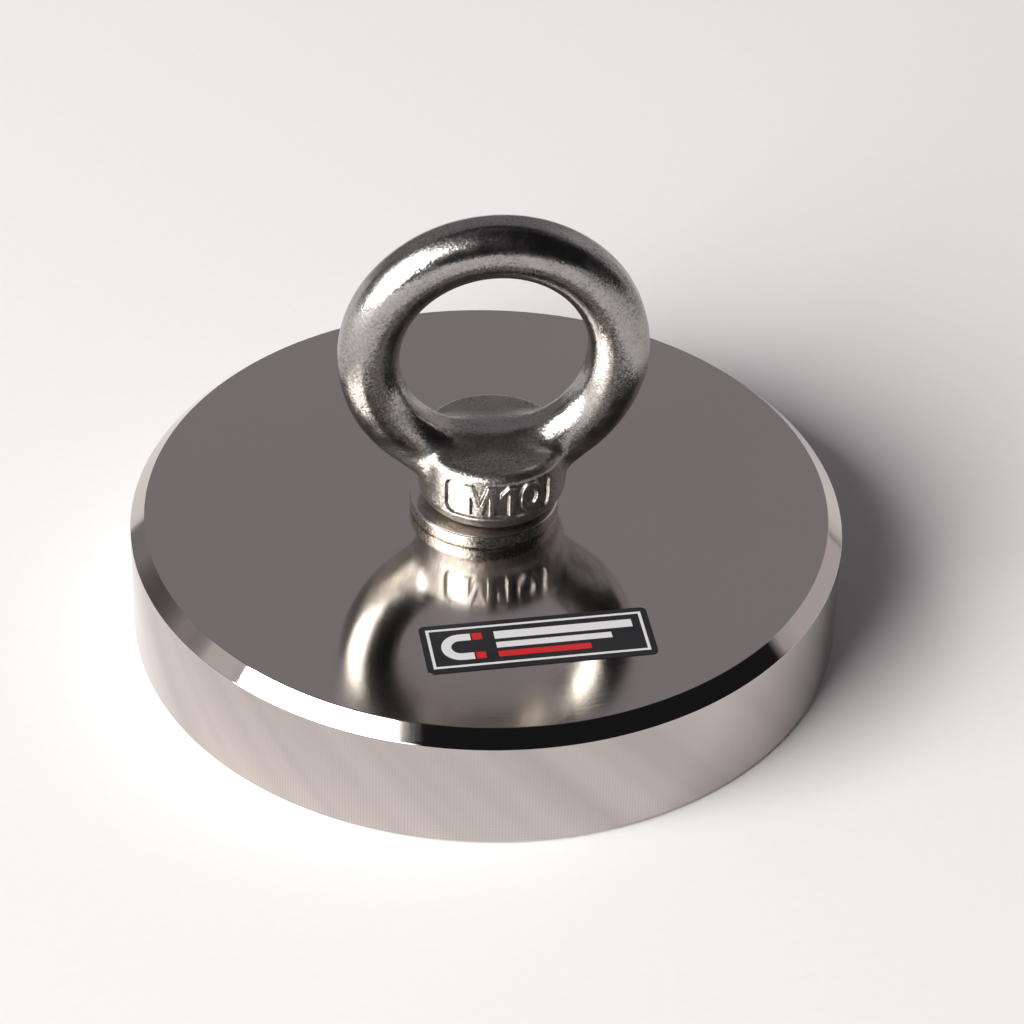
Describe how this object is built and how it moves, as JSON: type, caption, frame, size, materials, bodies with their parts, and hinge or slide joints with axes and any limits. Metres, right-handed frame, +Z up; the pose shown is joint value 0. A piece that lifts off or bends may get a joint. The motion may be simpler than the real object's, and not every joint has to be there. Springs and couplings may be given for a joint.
{
  "type": "magnet fishing magnet",
  "caption": "Round pot magnet for retrieving steel from water: a flat steel cup with a magnet set in its underside and a lifting eye screwed into its top to tie a rope to.",
  "frame": {"origin": "centre of the magnet face, which is the underside of the cup", "axes": "+Z up out of the top of the cup and through the lifting eye; the eye's ring stands in the XZ plane and its thread-size mark faces -Y"},
  "size_m": [0.096, 0.096, 0.0636],
  "materials": {
    "bright_nickel_plate": "mirror-bright nickel plate over fine turning marks",
    "magnet_plate": "nickel-plated pressed magnet, satin",
    "adhesive": "cured adhesive, hidden",
    "potting_resin": "cast black resin with a slightly sunk surface",
    "washer_steel": "plated flat faces with a tumbled, grainy rim",
    "forged_bright_steel": "drop forged, tumbled bright, fine orange-peel grain",
    "label_film": "printed sticker, satin"
  },
  "bodies": {
    "pot": {"pot_housing": "bright_nickel_plate", "ring_magnet": "magnet_plate", "magnet_bond_layer": "adhesive", "outer_potting_ring": "potting_resin", "inner_potting_ring": "potting_resin", "label": "label_film"},
    "washer": {"flat_washer": "washer_steel"},
    "eye": {"eyebolt": "forged_bright_steel"}
  },
  "joints": [
    {"name": "eye_turn", "type": "hinge", "parent": "pot", "child": "washer", "pos_m": [0, 0, 0.018], "axis": [0, 0, 1], "range_deg": [0, 3150]},
    {"name": "eye_lift", "type": "slide", "parent": "washer", "child": "eye", "axis": [0, 0, 1], "range_m": [0, 0.01313]}
  ],
  "couplings": [
    {"joint": "eye_lift", "follows": "eye_turn", "m_per_rad": 0.00023873}
  ]
}
